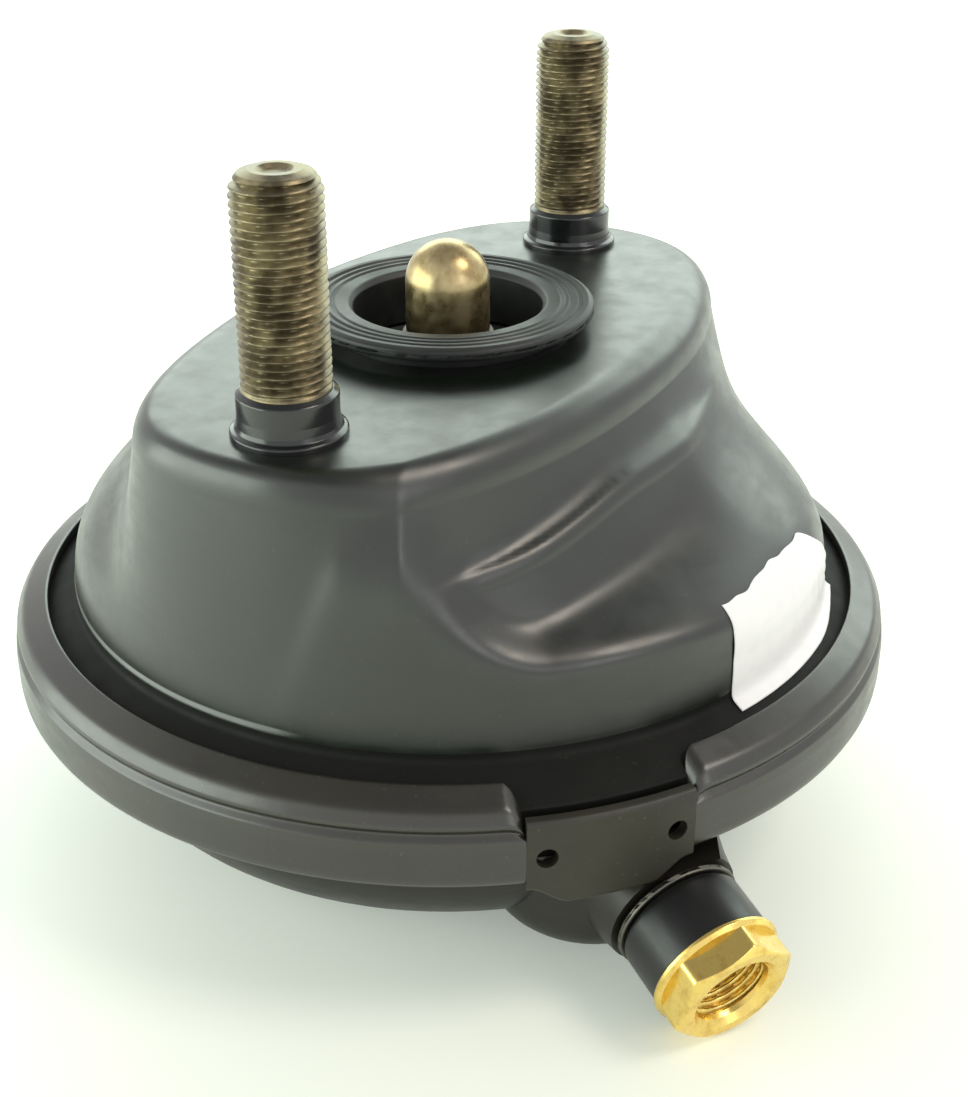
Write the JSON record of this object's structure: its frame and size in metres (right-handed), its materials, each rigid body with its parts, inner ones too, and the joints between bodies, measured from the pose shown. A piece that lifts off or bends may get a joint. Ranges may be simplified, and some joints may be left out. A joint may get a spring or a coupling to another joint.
{
  "type": "air brake chamber",
  "caption": "Round diaphragm air brake chamber with oval mounting land, threaded studs, domed push rod in a rubber boot, rolled clamp ring and angled brass air port",
  "frame": {"origin": "centre of the flat mounting land, midway between the two studs", "axes": "+Z out of the land along the studs and the push rod, X along the line of the studs, the air port points to -X -Y and a little down"},
  "size_m": [0.185, 0.1887, 0.1487],
  "materials": {
    "coated_bonnet": "satin black electro-coat over drawn steel",
    "coated_housing": "satin black electro-coat over drawn steel",
    "coated_ring": "satin black electro-coat over drawn steel, with worn edges",
    "coated_port": "smooth black electro-coat over turned steel",
    "stud_steel": "olive bronze coating over rolled thread",
    "bright_steel": "turned, left bright",
    "gold_zinc": "yellow passivated zinc on the rod",
    "plate_steel": "zinc plated pressing",
    "brass": "turned brass",
    "boot_rubber": "moulded rubber, matt",
    "diaphragm_rubber": "fabric-filled rubber sheet",
    "seal_rubber": "moulded rubber ring",
    "spring_steel": "black coated spring wire",
    "plug_plastic": "moulded plug"
  },
  "bodies": {
    "chamber": {"bonnet": "coated_bonnet", "pressure_housing": "coated_housing", "clamp_ring": "coated_ring", "clamp_joint_plate": "coated_ring", "diaphragm": "diaphragm_rubber", "boot_seal": "boot_rubber", "bellows": "boot_rubber", "spring_seat": "plate_steel", "return_spring": "spring_steel", "port_neck": "coated_port", "port_washer": "bright_steel", "port_body": "coated_port", "port_adapter": "brass", "port_o_ring": "seal_rubber", "drain_plug": "plug_plastic", "stud_front": "stud_steel", "stud_washer_front": "coated_port", "stud_rear": "stud_steel", "stud_washer_rear": "coated_port"},
    "push_rod": {"push_plate": "plate_steel", "plate_boss": "plate_steel", "push_rod": "gold_zinc", "rod_clip": "bright_steel", "rod_sleeve": "boot_rubber"}
  },
  "joints": [
    {"name": "rod_slide", "type": "slide", "parent": "chamber", "child": "push_rod", "axis": [0, 0, 1], "range_m": [0, 0.057], "stiffness_N_per_m": 1500, "springref_m": -0.05, "deforming": ["return_spring", "bellows", "diaphragm"]}
  ]
}
